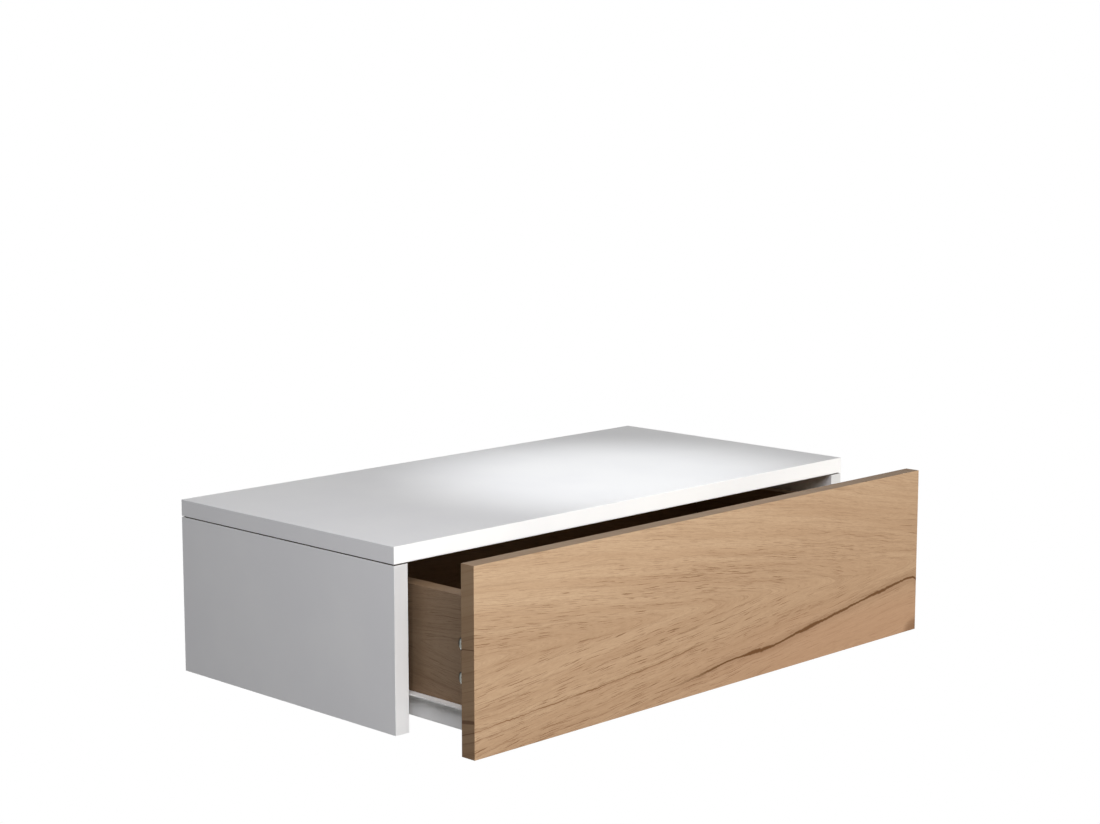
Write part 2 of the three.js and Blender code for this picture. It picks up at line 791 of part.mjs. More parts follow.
// The drawer
addPiece("drawer_front", drawerFront(), oakBoard);
for (const { name, sign } of hands) {
  addPiece(`drawer_side_${name}`, drawerSide(sign), oakBoard);
}
addPiece("drawer_back", drawerBack(), oakBoard);
addPiece("drawer_bottom", drawerBottom(), oakThin);
for (const { name, lock } of drawerCams) {
  addCamLock(name, lock);
}
const backScrewShape = screwGeometry(backScrew);
for (const { name, frame } of drawerBackScrews) {
  addPiece(name, backScrewShape, zinc, frame);
}
const bumperShape = bumperGeometry();
for (const { name, sign } of hands) {
  addPiece(`drawer_bumper_${name}`, bumperShape, silicone, bumperFrame(sign));
}

// The drawer's half of the runners
for (const { name, sign } of hands) {
  addPiece(`drawer_rail_${name}`, drawerRail(sign), whiteSteel);
  const frame = rollerFrame(sign, rearRollerNear, rearRollerPlace, rearRollerLevel);
  addPiece(`drawer_roller_${name}`, rollerShape, nylon, frame);
}
for (const { name, frame } of drawerRailScrews) {
  addPiece(name, railScrewShape, zinc, frame);
}

export default nightstand;
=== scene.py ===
"""Floating nightstand: its materials, small fittings, light and camera. Metres, +Z up."""

import math

import bmesh
import bpy
from mathutils import Matrix, Vector


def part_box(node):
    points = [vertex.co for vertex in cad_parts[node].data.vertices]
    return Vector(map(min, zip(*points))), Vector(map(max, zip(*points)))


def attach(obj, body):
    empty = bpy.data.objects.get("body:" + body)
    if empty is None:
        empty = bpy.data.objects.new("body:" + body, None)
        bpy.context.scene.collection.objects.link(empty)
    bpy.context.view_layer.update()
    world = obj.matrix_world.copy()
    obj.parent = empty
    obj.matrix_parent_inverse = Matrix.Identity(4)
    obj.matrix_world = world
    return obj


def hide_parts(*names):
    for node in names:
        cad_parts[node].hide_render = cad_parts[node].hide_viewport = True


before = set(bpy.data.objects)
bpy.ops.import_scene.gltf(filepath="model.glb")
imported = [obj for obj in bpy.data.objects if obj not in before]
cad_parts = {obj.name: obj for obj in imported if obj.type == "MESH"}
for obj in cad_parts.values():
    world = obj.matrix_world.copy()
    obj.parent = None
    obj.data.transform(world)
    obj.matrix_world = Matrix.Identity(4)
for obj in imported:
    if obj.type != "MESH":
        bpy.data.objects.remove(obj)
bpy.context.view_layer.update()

MM = 0.001
HANDS = {"left": -1, "right": 1}
ACROSS, DEEP, UP = Vector((1, 0, 0)), Vector((0, 1, 0)), Vector((0, 0, 1))

# Camera
EYE = Vector((-1.77175, -1.95883, 0.55719))
LOOK = Vector((0.70357719, 0.69432990, -0.15127832))
LENS = 72.617

# Floor
FLOOR_LEVEL = -0.5
FLOOR_HALF = 4.0
FLOOR_DULL = (0.25, 0.25, 0.25, 1)
FLOOR_PALE = (0.78, 0.78, 0.78, 1)
FLOOR_PALER = (0.8, 0.8, 0.8, 1)
FLOOR_GLOW = 0.45
BLACK = (0, 0, 0, 1)
WHITE = (1, 1, 1, 1)
SHADOW_MIDDLE = Vector((-0.1, -0.35))
SHADOW_NEAR = 0.35
SHADOW_FAR = 0.72

# Edges of the CAD pieces, in millimetres and degrees
BOARD_EDGE = 0.35
THIN_EDGE = 0.2
EDGE_SEGMENTS = 2
WELD = 0.01
FLAT = 1.0
CREASE = 40.0

# Fittings, in millimetres and degrees
SEAM = 0.001
FACE_STEP = 0.14
SOFT_EDGE = 0.12
SHARP_CREASE = 35.0
ROUND_CREASE = 50.0
CAM_SPOKES = 96
CAM_RIM = 0.35
# The cam's outer ring is painted dark as the shade in the gap around it in its hole
CAM_SHADE_RIM = (6.3, 7.0)
CAM_FLOOR_RADIUS = 6.3
CAM_FLOOR_DEPTH = 0.5
CAM_CROSS = 8.4
CAM_CROSS_WIDTH = 1.8
CAM_CROSS_DEPTH = 1.6
CAM_ARROW_BASE = 4.6
CAM_ARROW_TIP = 6.0
CAM_ARROW_HALF = 1.1
CAM_ARROW_LIFT_SHARE = 0.8
SCREW_SPOKES = 64
SCREW_CROSS = 3.4
SCREW_CROSS_WIDTH = 0.9
SCREW_CROSS_DEPTH = 1.0
SCREW_PITCH = 1.3
SCREW_THREAD = 0.35
SCREW_FLANK_SHARE = 0.3
SCREW_TAPER_TURNS = 3
SCREW_BARE_TURNS = 2
SHANK_SHARE = 0.5
HEAD_DEPTH_SHARE = 0.6
ROLLER_SPOKES = 96
ROLLER_BORE = 2.75
ROLLER_HUB = 4.2
ROLLER_RIM = 6.6
ROLLER_DISH = 0.9
ROLLER_SLOPE = 0.2
ROLLER_ROUND = 0.7
BUMPER_SPOKES = 64
BUMPER_SHOULDER = 0.55


def tone(red, green, blue):
    """A colour given in 8-bit screen levels above 10, as linear light with full alpha, by sRGB's curve."""
    shares = [level / 255 for level in (red, green, blue)]
    return (*[((share + 0.055) / 1.055) ** 2.4 for share in shares], 1.0)


class Graph:
    """A node tree as it is built."""

    MIX_FACTOR, MIX_FIRST, MIX_SECOND, MIX_COLOUR = 0, 6, 7, 2

    def __init__(self, tree):
        self.tree = tree

    def node(self, kind, **settings):
        made = self.tree.nodes.new(kind)
        for key, value in settings.items():
            setattr(made, key, value)
        return made

    def feed(self, socket, value):
        """Links a socket to another one, or sets its own value."""
        if isinstance(value, bpy.types.NodeSocket):
            self.tree.links.new(value, socket)
        else:
            socket.default_value = value

    def calc(self, operation, *values):
        made = self.node("ShaderNodeMath", operation=operation)
        for socket, value in zip(made.inputs, values):
            self.feed(socket, value)
        return made.outputs[0]

    def parts(self, vector):
        made = self.node("ShaderNodeSeparateXYZ")
        self.feed(made.inputs[0], vector)
        return list(made.outputs)

    def vector(self, *values):
        made = self.node("ShaderNodeCombineXYZ")
        for socket, value in zip(made.inputs, values):
            self.feed(socket, value)
        return made.outputs[0]

    def noise(self, vector, scale=1.0, detail=2.0, rough=0.5):
        made = self.node("ShaderNodeTexNoise")
        self.feed(made.inputs["Vector"], vector)
        made.inputs["Scale"].default_value = scale
        made.inputs["Detail"].default_value = detail
        made.inputs["Roughness"].default_value = rough
        return made.outputs["Fac"]

    def remap(self, value, low, high, start=0.0, end=1.0, kind="SMOOTHSTEP"):
        """What a value turns into between low and high: from start to end."""
        made = self.node("ShaderNodeMapRange", interpolation_type=kind)
        sockets = ("Value", "From Min", "From Max", "To Min", "To Max")
        for key, number in zip(sockets, (value, low, high, start, end)):
            self.feed(made.inputs[key], number)
        return made.outputs[0]

    def mix(self, factor, first, second, how="MIX"):
        made = self.node("ShaderNodeMix", data_type="RGBA", blend_type=how)
        self.feed(made.inputs[self.MIX_FACTOR], factor)
        self.feed(made.inputs[self.MIX_FIRST], first)
        self.feed(made.inputs[self.MIX_SECOND], second)
        return made.outputs[self.MIX_COLOUR]

    def curve(self, value, points):
        """A smooth line through given points, both ways from 0 to 1."""
        made = self.node("ShaderNodeFloatCurve")
        line = made.mapping.curves[0]
        line.points[0].location = points[0]
        line.points[1].location = points[-1]
        for point in points[1:-1]:
            line.points.new(*point)
        made.mapping.update()
        self.feed(made.inputs["Value"], value)
        return made.outputs[0]


class Shader(Graph):
    """A material as it is made: a Principled BSDF and the nodes that feed it."""

    def __init__(self, name):
        self.material = bpy.data.materials.new(name)
        self.material.use_nodes = True
        super().__init__(self.material.node_tree)
        self.surface = self.tree.nodes["Principled BSDF"]
        self.place = self.node("ShaderNodeTexCoord").outputs["Object"]

    def bump(self, height, depth, strength=1.0):
        """A relief of a depth in millimetres."""
        made = self.node("ShaderNodeBump")
        made.inputs["Distance"].default_value = depth * MM
        made.inputs["Strength"].default_value = strength
        self.feed(made.inputs["Height"], height)
        self.feed(self.surface.inputs["Normal"], made.outputs[0])

    def set(self, **values):
        for key, value in values.items():
            self.feed(self.surface.inputs[key.replace("_", " ")], value)
        return self.material


# Oak decor. The grain lines close in on a middle line towards the right, as on a plain-sawn board.
OAK_LIGHT = tone(194, 166, 135)
OAK_DEEP = tone(181, 151, 120)
OAK_LINE = tone(150, 119, 90)
OAK_PORE = tone(116, 80, 48)
OAK_VEIN = tone(90, 53, 13)
OAK_ROSE = tone(184, 147, 117)

# Shades that multiply the decor's colour, over the board or on its edges
OAK_EVEN = tone(255, 255, 255)
# The drawer box is darker all over: partly a darker decor, partly painted shade for the dim inside of the
# cabinet
OAK_BOX_TONE_AND_SHADE = tone(192, 190, 188)
# The drawer front's edges are darker: partly the edge band's own tone, partly painted shade on the edges
OAK_EDGE_TONE_AND_SHADE = tone(199, 195, 188)
OAK_BOX_EDGE = tone(255, 252, 248)
OAK_LOW = tone(240, 232, 226)
OAK_MIDDLE = tone(246, 245, 244)

# Lines of the grain, in millimetres
GRAIN_MIDDLE = -3.0
GRAIN_TILT = -0.0213
GRAIN_TILT_BEND = -0.000036
GRAIN_LEAN = 0.1225
GRAIN_BEND = 0.0000424
GRAIN_ROUND = 2.0
GRAIN_TURN = 60
EDGE_SKEW = 0.35
DRIFT_LENGTH = 150
DRIFT_HEIGHT = 50
DRIFT_REACH = 7.0
JITTER_LENGTH = 5
JITTER_HEIGHT = 2.5
JITTER_REACH = 0.45

# Streaks along the grain: length and width in millimetres, and their noise
BANDS = {"length": 480, "width": 10}
LINES = {"length": 130, "width": 2.4, "detail": 3.0, "rough": 0.65, "turned": 5.0}
FIBRES = {"length": 8, "width": 0.8, "detail": 3.0, "rough": 0.75, "turned": 7.0}
ROWS = {"length": 500, "width": 5.5, "detail": 1.0, "turned": 17.0}
PORES = {"length": 16, "width": 0.75, "detail": 0.0, "turned": 13.0}
THICK_PORES = {"length": 40, "width": 1.1, "detail": 1.0, "turned": 23.0}
DASHES = {"length": 28, "width": 0.65, "detail": 0.0, "turned": 31.0}

# Steps: the two ends of a value, and what it turns into there, which is 0 and 1 where nothing is given
NOISE_STEP = (0.3, 0.7)
FACING_STEP = (0.4, 0.9)
LINE_STEP = (0.48, 0.8, 0.0, 0.6)
FIBRE_STEP = (0.3, 0.8, 0.0, 0.42)
FIBRE_ROUGH_STEP = (0.2, 0.8, 0.5, 0.62)
ROW_STEP = (0.42, 0.66)
PORE_STEP = (0.64, 0.74, 0.0, 0.6)
THICK_STEP = (0.7, 0.8, 0.0, 0.4)
DASH_STEP = (0.68, 0.75, 0.0, 0.75)
MIDDLE_STEP = (GRAIN_ROUND, 4 * GRAIN_ROUND, 0.3, 1.0)
EDGE_STEP = (0.0, 1.0, 0.3, 1.0)
FRONT_RIGHT_SHARE = 0.6
FRONT_TOP_STEP = (30.0, 75.0, 1.0, 0.5)
PLAIN_SHARE = 0.5
FIBRE_RELIEF = 0.4
GRAIN_RELIEF = 0.06
DARK_ROUGHNESS = 0.15
OAK_SPECULAR = 0.25

# Veins of the drawer front: shares of its width and of its height from the top
MAIN_VEIN = [
    (0.0, 0.98),
    (0.39, 0.92),
    (0.46, 0.895),
    (0.53, 0.86),
    (0.63, 0.845),
    (0.69, 0.81),
    (0.75, 0.78),
    (0.83, 0.735),
    (0.89, 0.705),
    (0.95, 0.675),
    (0.985, 0.663),
    (1.0, 0.68),
]
SECOND_VEIN = [(0.0, 0.855), (0.15, 0.82), (0.26, 0.795), (0.36, 0.765), (0.48, 0.715), (1.0, 0.6)]
LOW_LINE = [(0.0, 0.97), (0.13, 0.935), (0.3, 0.9), (1.0, 0.7)]
MIDDLE_LINE = [(0.0, 0.54), (0.12, 0.525), (0.3, 0.53), (1.0, 0.58)]
LATE_LINE = [(0.0, 0.3), (0.55, 0.43), (0.7, 0.49), (0.84, 0.56), (1.0, 0.6)]
UPPER_LINE = [(0.0, 0.1), (0.4, 0.19), (0.7, 0.37), (0.84, 0.43), (1.0, 0.5)]

# Each line's half width in millimetres, where it starts and stops along the front, its strength, and the
# least share of that strength which it keeps where it is faint
MAIN_HALF_STEP = (0.45, 0.65, 1.8, 2.8)
MAIN_LOOK = ((0.34, 0.52), (1.5, 2.0), 0.95, 1.0)
THIN_LOOKS = [
    (SECOND_VEIN, 0.9, (-0.4, -0.1), (0.42, 0.5), 1.0, 0.7),
    (LOW_LINE, 0.9, (-1.0, -0.5), (0.16, 0.24), 0.55, 0.25),
    (MIDDLE_LINE, 0.9, (-1.0, -0.5), (0.2, 0.42), 0.45, 0.25),
    (LATE_LINE, 1.0, (0.5, 0.6), (0.84, 0.9), 0.3, 0.25),
    (UPPER_LINE, 1.2, (0.6, 0.8), (1.5, 2.0), 0.3, 0.25),
]
WOBBLE = {"reach": 1.8, "length": 26, "detail": 3.0}
QUIVER = {"reach": 1.1, "length": 5, "across": 9.0}
FAINT_LENGTH = 30
FAINT_PLACE = 4.0
FAINT_STEP = (0.4, 0.6)
SWELL_LENGTH = 45
SWELL_PLACE = 14.0
SWELL_STEP = (0.3, 0.7, 0.65, 1.5)
CORE_STEP = (0.3, 1.0)
HALO_STEP = (1.0, 4.0)
HALO_SHARE = 0.22

# Shades of the drawer front, by millimetres up from its middle and by shares of its width
ROSE_SHARE = 0.6
ROSE_ALONG_STEP = (0.3, 0.8)
ROSE_RISE_STEP = (-75.0, -25.0, 0.8, 0.0)
FALL_STEP = (-0.25, 0.75, 0.0, 1.0)
LOWER_RISE_STEP = (10.0, 75.0, 1.0, 0.0)
LOWER_ALONG_STEP = (0.55, 0.95, 1.0, 0.3)
CORNER_WIDTH_SHARE = 0.037
CORNER_HEIGHT_SHARE = 0.09
CORNER_STEP = (0.1, 1.1, 0.6, 0.0)

# Marks across its left edge and its top edge: share of the edge's length, half width in millimetres, lean
# and strength
LEFT_MARKS = [(0.431, 0.7, -0.11, 0.75), (0.803, 2.6, -0.15, 0.8)]
TOP_MARKS = [(0.577, 1.1, 0.5, 0.5)]
LEFT_STEP = (-0.9, -0.6, 1.0, 0.0)
TOP_STEP = (0.6, 0.9)
MARK_CORE_SHARE = 0.4

# The joint under the top, in millimetres, from which the sides are raw chipboard upwards, painted darker
# than chipboard as the shade in the joint
JOINT = 1.25

# Flecks of the beech per metre, along its grain and across it
FLECKS_ALONG = 120
FLECKS_ACROSS = 1500


class GrainSpace:
    """Where a point of a board lies, in millimetres: along the grain, up across it, and in from one face."""

    def __init__(self, s, node, axes, shift):
        along, across, deep = axes
        self.s = s
        self.lo, self.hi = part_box(node)
        self.places = s.parts(s.place)
        self.normal = s.parts(s.node("ShaderNodeNewGeometry").outputs["Normal"])
        self.facing = s.remap(s.calc("ABSOLUTE", self.normal[deep]), *FACING_STEP)
        self.run = s.calc("MULTIPLY_ADD", self.places[along], 1 / MM, shift)
        self.depth = s.calc("MULTIPLY_ADD", self.places[deep], 1 / MM, -self.lo[deep] / MM)
        level = s.calc("MULTIPLY", self.places[across], 1 / MM)
        self.rise = s.calc("MULTIPLY_ADD", self.depth, EDGE_SKEW, level)

    def wave(self, length, across=0.0, detail=2.0):
        """A noise with waves of a length along the grain."""
        spot = self.s.vector(self.s.calc("DIVIDE", self.run, length), across, 0.0)
        return self.s.noise(spot, detail=detail)

    def sway(self, reach, **wave):
        """A wave that goes up to a reach either way."""
        return self.s.remap(self.wave(**wave), 0.0, 1.0, -reach, reach, "LINEAR")


def grain_lines(s, board, figured):
    """The number of the grain line at a point, and how far the lines' middle lies, in millimetres."""
    run, rise = board.run, board.rise
    drift = board.sway(DRIFT_REACH, length=DRIFT_LENGTH, across=s.calc("DIVIDE", rise, DRIFT_HEIGHT))
    offset = s.calc("SUBTRACT", s.calc("ADD", rise, drift), GRAIN_MIDDLE)
    lean = s.calc("MULTIPLY", run, GRAIN_LEAN)
    if figured:
        square = s.calc("MULTIPLY", run, run)
        middle = s.calc("MULTIPLY_ADD", square, GRAIN_TILT_BEND, s.calc("MULTIPLY", run, GRAIN_TILT))
        offset = s.calc("SUBTRACT", offset, middle)
        lean = s.calc("MULTIPLY_ADD", square, GRAIN_BEND, lean)
    reach = s.calc("SQRT", s.calc("MULTIPLY_ADD", offset, offset, GRAIN_ROUND**2))
    jitter = board.sway(JITTER_REACH, length=JITTER_LENGTH, across=s.calc("DIVIDE", rise, JITTER_HEIGHT))
    return s.calc("ADD", s.calc("ADD", lean, reach), jitter), reach


def front_figure(s, board, colour):
    """The drawer front's colour with its own shades, veins and corner spot, and its main vein's mask."""
    run, rise, lo, hi = board.run, board.rise, board.lo, board.hi
    width, height = (hi.x - lo.x) / MM, (hi.z - lo.z) / MM
    along = s.remap(run, lo.x / MM, hi.x / MM, kind="LINEAR")
    wobble = s.calc("ADD", board.sway(**WOBBLE), board.sway(**QUIVER))
    faint = board.wave(FAINT_LENGTH, FAINT_PLACE)
    swell = s.remap(board.wave(SWELL_LENGTH, SWELL_PLACE, detail=1.0), *SWELL_STEP)

    def vein(points, half, start, stop, strength, least):
        """The mask of a dark line along listed points."""
        line = s.remap(s.curve(along, points), 0.0, 1.0, hi.z / MM, lo.z / MM, "LINEAR")
        away = s.calc("ABSOLUTE", s.calc("SUBTRACT", s.calc("ADD", rise, wobble), line))
        shown = s.calc("MULTIPLY", s.remap(along, *start), s.remap(along, *stop, 1.0, 0.0))
        if least < 1.0:
            shown = s.calc("MULTIPLY", shown, s.remap(faint, *FAINT_STEP, least, 1.0))
        away = s.calc("DIVIDE", away, half)
        core = s.remap(s.calc("MULTIPLY", away, swell), *CORE_STEP, strength, 0.0)
        halo = s.remap(away, *HALO_STEP, HALO_SHARE * strength, 0.0)
        return s.calc("MULTIPLY", shown, s.calc("MAXIMUM", core, halo))

    rose = s.calc("MULTIPLY", s.remap(along, *ROSE_ALONG_STEP), s.remap(rise, *ROSE_RISE_STEP))
    colour = s.mix(rose, colour, s.mix(ROSE_SHARE, colour, OAK_ROSE))
    fall = s.calc("SUBTRACT", s.calc("MULTIPLY", along, 0.5), s.calc("DIVIDE", rise, 2 * height))
    fall = s.remap(fall, *FALL_STEP, "LINEAR")
    colour = s.mix(fall, colour, s.mix(1.0, colour, OAK_LOW, "MULTIPLY"))
    lower = s.calc("MULTIPLY", s.remap(rise, *LOWER_RISE_STEP), s.remap(along, *LOWER_ALONG_STEP))
    colour = s.mix(lower, colour, s.mix(1.0, colour, OAK_MIDDLE, "MULTIPLY"))
    main = vein(MAIN_VEIN, s.remap(along, *MAIN_HALF_STEP), *MAIN_LOOK)
    for look in THIN_LOOKS:
        colour = s.mix(vein(*look), colour, OAK_PORE)
    colour = s.mix(main, colour, OAK_VEIN)
    sideways = s.calc("DIVIDE", s.calc("SUBTRACT", run, hi.x / MM), width * CORNER_WIDTH_SHARE)
    upwards = s.calc("DIVIDE", s.calc("SUBTRACT", rise, lo.z / MM), height * CORNER_HEIGHT_SHARE)
    corner = s.calc("ADD", s.calc("POWER", sideways, 2.0), s.calc("POWER", upwards, 2.0))
    return s.mix(s.remap(corner, *CORNER_STEP), colour, OAK_VEIN), main


def edge_marks(s, board, colour):
    """The drawer front's colour with the ends of its grain lines on its left and top edges."""
    lo, hi = board.lo, board.hi
    width, height = (hi.x - lo.x) / MM, (hi.z - lo.z) / MM
    level = s.calc("MULTIPLY", board.places[2], 1 / MM)
    edges = [
        (LEFT_MARKS, s.remap(board.normal[0], *LEFT_STEP), level, hi.z / MM, -height),
        (TOP_MARKS, s.remap(board.normal[2], *TOP_STEP), board.run, lo.x / MM, width),
    ]
    for marks, on_edge, spot, start, length in edges:
        for share, half, lean, strength in marks:
            leaned = s.calc("MULTIPLY_ADD", board.depth, -lean, spot)
            away = s.calc("ABSOLUTE", s.calc("SUBTRACT", leaned, start + share * length))
            mask = s.remap(away, half * MARK_CORE_SHARE, half, strength, 0.0)
            colour = s.mix(s.calc("MULTIPLY", mask, on_edge), colour, OAK_VEIN)
    return colour


def oak(name, node, axes, shift=0.0, figured=False, shade=OAK_EVEN, edge=OAK_EDGE_TONE_AND_SHADE):
    """Oak decor of a board. The axes are those along the grain, across it and through the board."""
    s = Shader(name)
    board = GrainSpace(s, node, axes, shift)
    level, reach = grain_lines(s, board, figured)
    turn = s.calc("DIVIDE", board.rise, GRAIN_TURN)

    def streaks(length, width, detail=2.0, rough=0.5, turned=0.0):
        """A noise that is drawn out along the grain lines."""
        spot = s.vector(
            s.calc("DIVIDE", board.run, length),
            s.calc("DIVIDE", level, width),
            s.calc("ADD", turn, turned),
        )
        return s.noise(spot, detail=detail, rough=rough)

    fibre = streaks(**FIBRES)
    colour = s.mix(s.remap(streaks(**BANDS), *NOISE_STEP, kind="LINEAR"), OAK_DEEP, OAK_LIGHT)
    colour = s.mix(s.remap(streaks(**LINES), *LINE_STEP), colour, OAK_LINE)
    colour = s.mix(s.calc("MULTIPLY", s.remap(fibre, *FIBRE_STEP), board.facing), colour, OAK_LINE)

    crowd = s.remap(streaks(**ROWS), *ROW_STEP)
    pores = s.calc("MULTIPLY", s.remap(streaks(**PORES), *PORE_STEP), crowd)
    thick = s.remap(streaks(**THICK_PORES), *THICK_STEP)
    dashes = s.remap(streaks(**DASHES), *DASH_STEP)
    dark = s.calc("MAXIMUM", s.calc("MAXIMUM", pores, thick), dashes)
    dark = s.calc("MULTIPLY", dark, s.remap(reach, *MIDDLE_STEP))
    dark = s.calc("MULTIPLY", dark, s.remap(board.facing, *EDGE_STEP))
    if figured:
        dark = s.calc("MULTIPLY", dark, s.remap(board.run, 0.0, board.hi.x / MM, 1.0, FRONT_RIGHT_SHARE))
        dark = s.calc("MULTIPLY", dark, s.remap(board.rise, *FRONT_TOP_STEP))
    else:
        dark = s.calc("MULTIPLY", dark, PLAIN_SHARE)
    colour = s.mix(dark, colour, OAK_PORE)
    if figured:
        colour, main = front_figure(s, board, colour)
        colour = edge_marks(s, board, colour)
        dark = s.calc("MAXIMUM", dark, main)

    # Over the board: on the drawer box partly a darker decor, partly painted shade for the inside of the
    # cabinet
    colour = s.mix(1.0, colour, shade, "MULTIPLY")
    # Edges: on the drawer front partly the edge band's tone, partly painted shade
    colour = s.mix(board.facing, s.mix(1.0, colour, edge, "MULTIPLY"), colour)
    s.bump(s.calc("SUBTRACT", s.calc("MULTIPLY", fibre, FIBRE_RELIEF), dark), GRAIN_RELIEF)
    rough = s.calc("MULTIPLY_ADD", dark, DARK_ROUGHNESS, s.remap(fibre, *FIBRE_ROUGH_STEP))
    return s.set(Base_Color=colour, Roughness=rough, Specular_IOR_Level=OAK_SPECULAR)


def white_board(name, raw_and_shaded_from=None):
    """White melamine board: a fine pearl texture with a faint mottle, and raw chipboard above a level,
    painted dark as the shade in the joint.
    """
    s = Shader(name)
    mottle = s.noise(s.place, scale=9.0, detail=3.0)
    pearl = s.noise(s.place, scale=900.0)
    colour = s.mix(s.remap(mottle, *NOISE_STEP), tone(239, 239, 240), tone(243, 243, 243))
    if raw_and_shaded_from is not None:
        # Raw chipboard, darkened to paint the shade in the joint under the top
        shaded_chipboard = s.mix(s.noise(s.place, scale=700.0, detail=3.0), tone(52, 42, 32), tone(92, 76, 60))
        colour = s.mix(s.calc("GREATER_THAN", s.parts(s.place)[2], raw_and_shaded_from), colour, shaded_chipboard)
    fine = s.noise(s.place, scale=2600.0, detail=1.0)
    s.bump(s.calc("ADD", pearl, fine), depth=0.02, strength=0.5)
    rough = s.remap(pearl, *NOISE_STEP, 0.4, 0.5)
    return s.set(Base_Color=colour, Roughness=rough, Specular_IOR_Level=0.4)


def coated_steel():
    """White epoxy coat on sheet steel, with a slight orange peel."""
    s = Shader("white_steel")
    peel = s.noise(s.place, scale=420.0)
    cloud = s.noise(s.place, scale=30.0)
    colour = s.mix(s.remap(cloud, *NOISE_STEP), tone(245, 244, 241), tone(249, 248, 246))
    s.bump(peel, depth=0.05, strength=0.6)
    rough = s.remap(peel, *NOISE_STEP, 0.4, 0.5)
    return s.set(Base_Color=colour, Roughness=rough, Specular_IOR_Level=0.3)


def nylon():
    """Natural white nylon, faintly cloudy."""
    s = Shader("nylon")
    cloud = s.noise(s.place, scale=260.0, detail=3.0)
    colour = s.mix(s.remap(cloud, *NOISE_STEP), tone(236, 233, 224), tone(244, 242, 236))
    s.bump(s.noise(s.place, scale=1400.0), depth=0.02, strength=0.5)
    rough = s.remap(cloud, *NOISE_STEP, 0.42, 0.55)
    return s.set(Base_Color=colour, Roughness=rough, Subsurface_Weight=0.08)


def zinc(name, first, second, scale, rim=None):
    """Plated metal with a fine cast or drawn grain, and painted shade beyond a radius from its own axis for
    the gap around a fitting in its hole.
    """
    s = Shader(name)
    grain = s.noise(s.place, scale=scale, detail=4.0, rough=0.65)
    stain = s.noise(s.place, scale=140.0, detail=3.0)
    colour = s.mix(s.remap(stain, *NOISE_STEP), first, second)
    if rim is not None:
        x, y = s.parts(s.place)[:2]
        radius = s.calc("SQRT", s.calc("MULTIPLY_ADD", x, x, s.calc("MULTIPLY", y, y)))
        # Painted shade of the gap between the cam and its hole
        colour = s.mix(s.remap(radius, rim[0] * MM, rim[1] * MM), colour, ZINC_SHADE)
    s.bump(grain, depth=0.03, strength=0.6)
    return s.set(Base_Color=colour, Metallic=0.9, Roughness=s.remap(grain, 0.25, 0.75, 0.26, 0.42))


def beech():
    """Plain beech with short flecks along the grain."""
    s = Shader("beech")
    x, y, z = s.parts(s.place)
    spot = s.vector(
        s.calc("MULTIPLY", x, FLECKS_ALONG),
        s.calc("MULTIPLY", y, FLECKS_ACROSS),
        s.calc("MULTIPLY", z, FLECKS_ACROSS),
    )
    fleck = s.noise(spot, detail=3.0)
    colour = s.mix(s.remap(fleck, 0.35, 0.7), tone(220, 190, 150), tone(196, 160, 118))
    s.bump(fleck, depth=0.05, strength=0.5)
    return s.set(Base_Color=colour, Roughness=s.remap(fleck, *NOISE_STEP, 0.6, 0.75))


def silicone():
    """Clear silicone, slightly milky."""
    s = Shader("silicone")
    haze = s.noise(s.place, scale=500.0)
    colour = s.mix(s.remap(haze, *NOISE_STEP), tone(228, 233, 234), tone(240, 243, 243))
    s.bump(haze, depth=0.02, strength=0.4)
    rough = s.remap(haze, *NOISE_STEP, 0.12, 0.22)
    return s.set(Base_Color=colour, Roughness=rough, Transmission_Weight=0.7, IOR=1.41)


ZINC_SHADE = tone(52, 50, 46)
# The drawer box's darker tone, partly painted shade for the inside of the cabinet
BOX_SHADES = {"shade": OAK_BOX_TONE_AND_SHADE, "edge": OAK_BOX_EDGE}
BOARD = white_board("white_board")
SIDE_BOARD = white_board("white_side", raw_and_shaded_from=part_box("top_panel")[0].z - JOINT * MM)
STEEL = coated_steel()
NYLON = nylon()
CAST = zinc("zinc_cast", tone(134, 137, 132), tone(160, 162, 156), scale=900.0, rim=CAM_SHADE_RIM)
PLATE = zinc("zinc_plate", tone(182, 185, 188), tone(202, 205, 207), scale=1600.0)
BEECH = beech()
SILICONE = silicone()
OAK_FRONT = oak("oak_front", "drawer_front", (0, 2, 1), figured=True)
OAK_BACK = oak("oak_back", "drawer_back", (0, 2, 1), shift=910.0, **BOX_SHADES)
OAK_BOTTOM = oak("oak_bottom", "drawer_bottom", (0, 1, 2), shift=2300.0, **BOX_SHADES)
OAK_SIDES = {
    "left": oak("oak_side_left", "drawer_side_left", (1, 2, 0), shift=1500.0, **BOX_SHADES),
    "right": oak("oak_side_right", "drawer_side_right", (1, 2, 0), shift=3100.0, **BOX_SHADES),
}


# The CAD pieces that stay: boards, plates, rails, bolts and dowels
def dress(node, material, edge=0):
    """Gives a CAD node its material, and softens its sharp edges where an edge width is given."""
    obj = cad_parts[node]
    obj.data.materials.clear()
    obj.data.materials.append(material)
    joined = obj.modifiers.new("joined", "WELD")
    joined.merge_threshold = WELD * MM
    flat = obj.modifiers.new("flat_faces", "DECIMATE")
    flat.decimate_type = "DISSOLVE"
    flat.angle_limit = math.radians(FLAT)
    if edge:
        soft = obj.modifiers.new("soft_edges", "BEVEL")
        soft.width = edge * MM
        soft.segments = EDGE_SEGMENTS
        soft.limit_method = "ANGLE"
        soft.angle_limit = math.radians(CREASE)
        soft.use_clamp_overlap = False
        soft.harden_normals = False
        soft.face_strength_mode = "FSTR_ALL"
    else:
        creased = obj.modifiers.new("creased", "EDGE_SPLIT")
        creased.split_angle = math.radians(CREASE)
    shading = obj.modifiers.new("shading", "WEIGHTED_NORMAL")
    shading.keep_sharp = False
    shading.use_face_influence = bool(edge)


